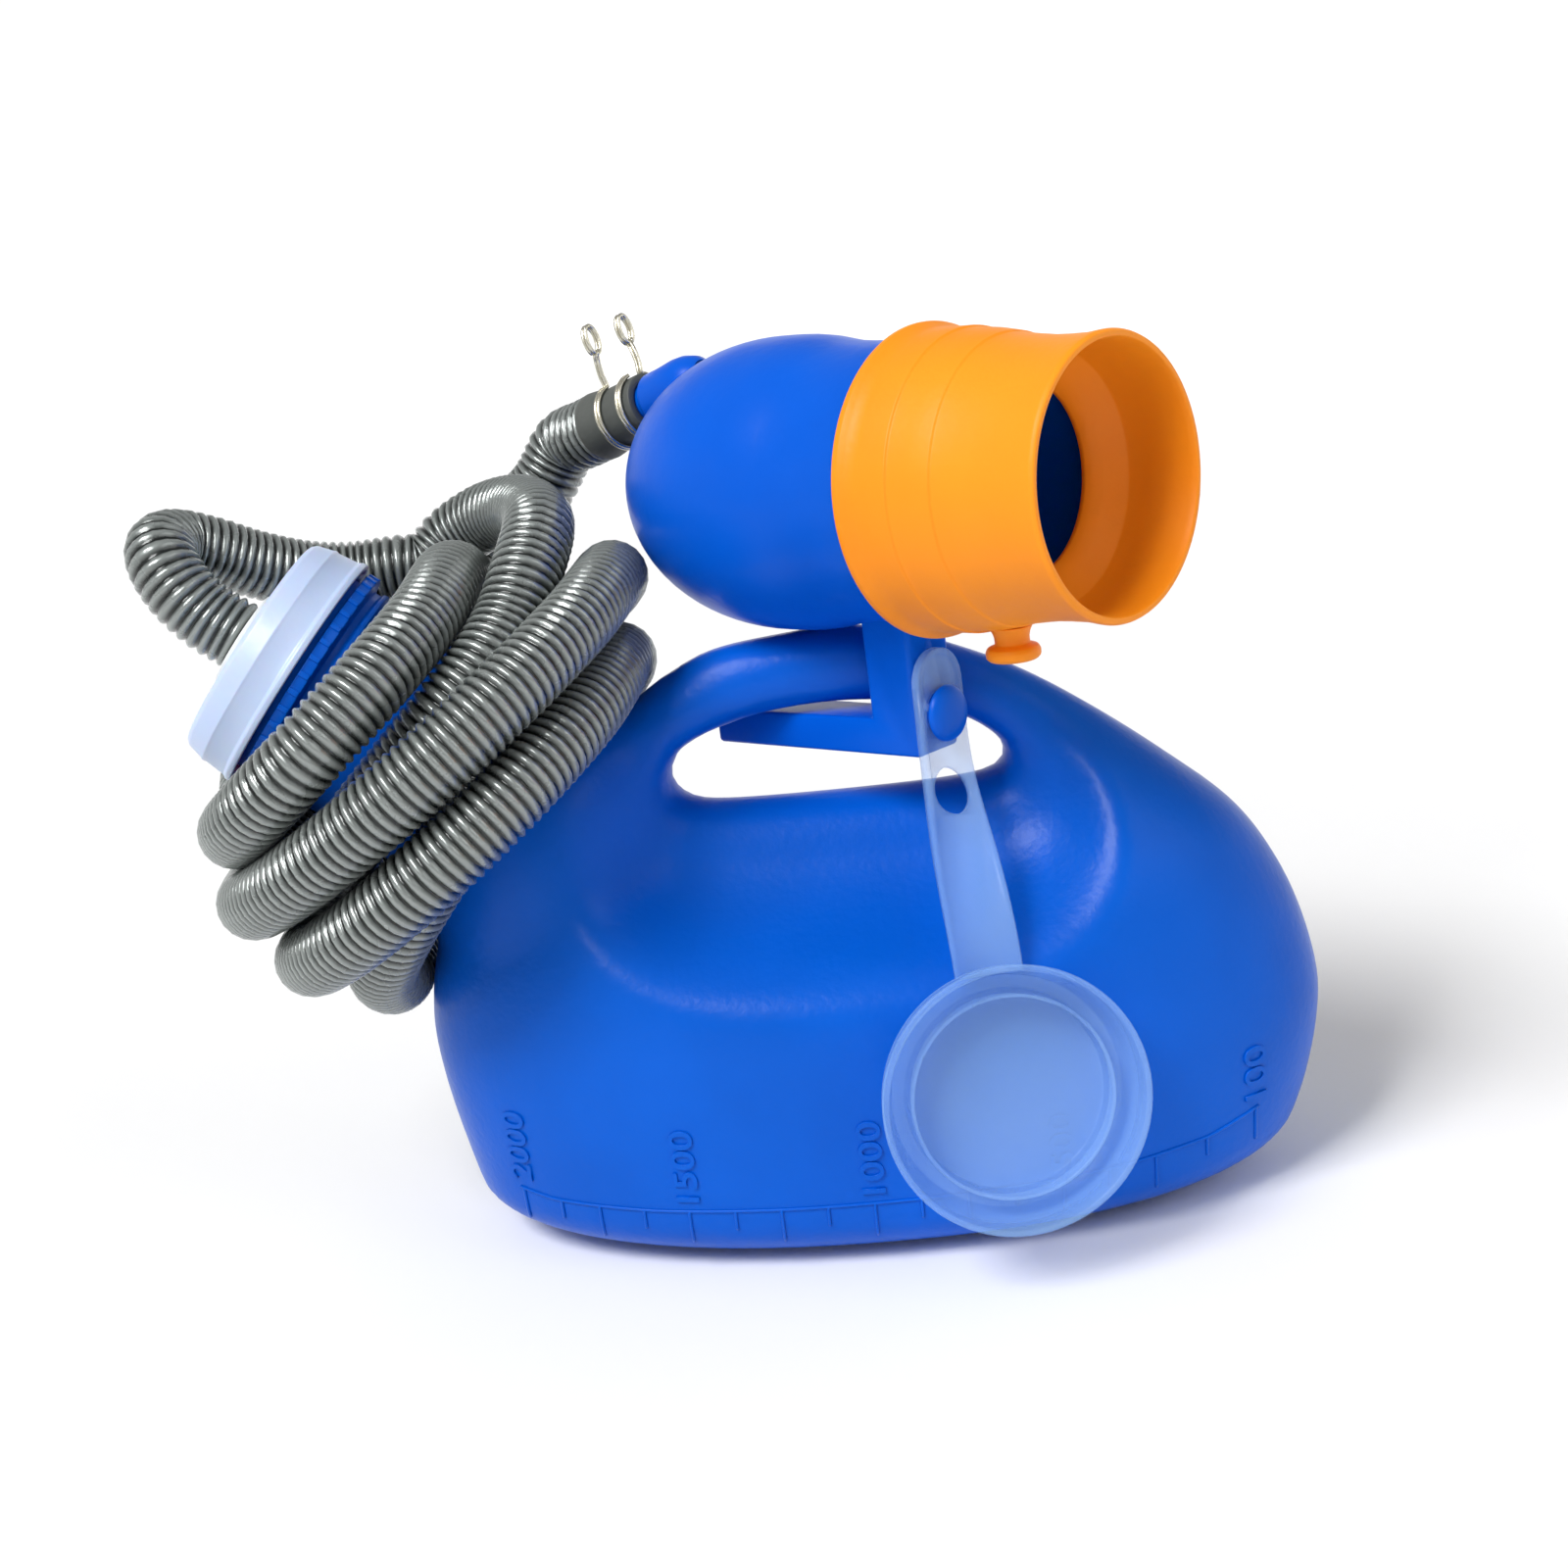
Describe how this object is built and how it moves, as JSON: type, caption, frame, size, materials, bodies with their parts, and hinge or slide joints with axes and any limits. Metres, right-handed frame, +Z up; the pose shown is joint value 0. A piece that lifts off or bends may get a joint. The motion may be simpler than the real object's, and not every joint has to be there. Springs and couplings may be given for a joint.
{
  "type": "urine bottle",
  "caption": "Plastic urine bottle with a carrying handle, a hose wound round its neck and a hand-held collector that hangs from the handle, with a soft mouth sleeve and a tethered cap.",
  "frame": {"origin": "middle of the bottle's flat base, on the surface it stands on", "axes": "+X along the bottle to its rounded end, away from the neck, +Z up, -Y to the side the collector's mouth looks towards"},
  "size_m": [0.3046, 0.1665, 0.2391],
  "materials": {
    "bottle_blue": "satin, slightly translucent blow-moulded polyethylene",
    "milky_cap": "milky, translucent, slightly waxy",
    "white_fitting": "plain moulded white",
    "washer_rubber": "matte",
    "white_nut": "plain moulded white",
    "collector_blue": "smooth satin",
    "cuff_grey": "matte soft plastic",
    "spring_wire": "zinc-plated, faintly yellow",
    "sleeve_orange": "soft silicone-like satin",
    "hose_grey_tail": "silver-grey, glossy ribs",
    "hose_grey": "silver-grey, glossy ribs",
    "milky_strap": "milky, translucent, soft"
  },
  "bodies": {
    "bottle": {"bottle_shell": "bottle_blue", "hose_coil": "hose_grey", "hose_tail": "hose_grey_tail"},
    "neck_closure": {"neck_cap": "milky_cap", "hose_barb": "white_fitting", "barb_washer": "washer_rubber", "barb_nut": "white_nut"},
    "collector": {"collector": "collector_blue", "hose_cuff": "cuff_grey", "wire_clamp": "spring_wire"},
    "sleeve": {"mouth_sleeve": "sleeve_orange"},
    "hanging_cap": {"tethered_cap": "milky_strap"}
  },
  "joints": [
    {"name": "collector_unhook", "type": "slide", "parent": "bottle", "child": "collector", "axis": [0.7543, -0.6557, 0.0349], "range_m": [0, 0.05], "deforming": ["hose_coil"]},
    {"name": "sleeve_pull", "type": "slide", "parent": "collector", "child": "sleeve", "axis": [0.7543, -0.6557, 0.0349], "range_m": [0, 0.025]},
    {"name": "cap_swing", "type": "hinge", "parent": "collector", "child": "hanging_cap", "pos_m": [0.02473, -0.02671, 0.14009], "axis": [-0.7543, 0.6557, -0.0349], "range_deg": [0, 60]},
    {"name": "neck_cap_pull", "type": "slide", "parent": "bottle", "child": "neck_closure", "axis": [-0.7771, 0, 0.6293], "range_m": [0, 0.012], "deforming": ["hose_tail"]}
  ]
}
